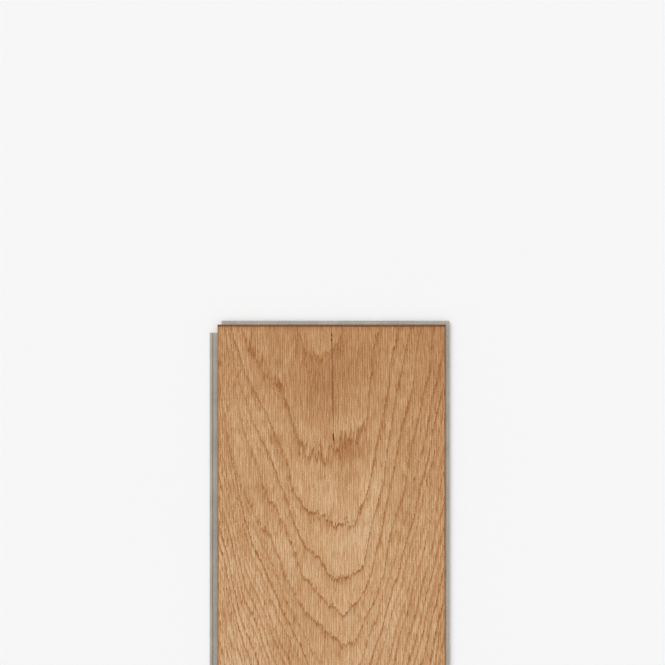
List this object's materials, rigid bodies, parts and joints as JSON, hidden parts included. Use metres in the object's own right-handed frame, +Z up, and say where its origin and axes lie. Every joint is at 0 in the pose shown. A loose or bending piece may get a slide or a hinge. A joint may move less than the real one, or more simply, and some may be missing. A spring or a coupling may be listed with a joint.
{
  "type": "luxury vinyl plank",
  "caption": "Flat rigid vinyl floor plank with a wood-grain face, painted bevelled edges, and a milled tongue, groove and locking lip that click into the next plank.",
  "frame": {"origin": "centre of the face's outline, seam to seam, dropped to the plane of the underside", "axes": "+Z up through the printed face, +Y along the length towards the end with the tongue, +X across the width towards the side with the tongue"},
  "size_m": [0.1892, 1.2292, 0.005],
  "materials": {
    "vinyl": "printed oak grain under a low-sheen embossed wear coat, bevels painted darker brown, plain grey-beige core where the edges are milled"
  },
  "bodies": {
    "root": {"plank": "vinyl"}
  },
  "joints": []
}
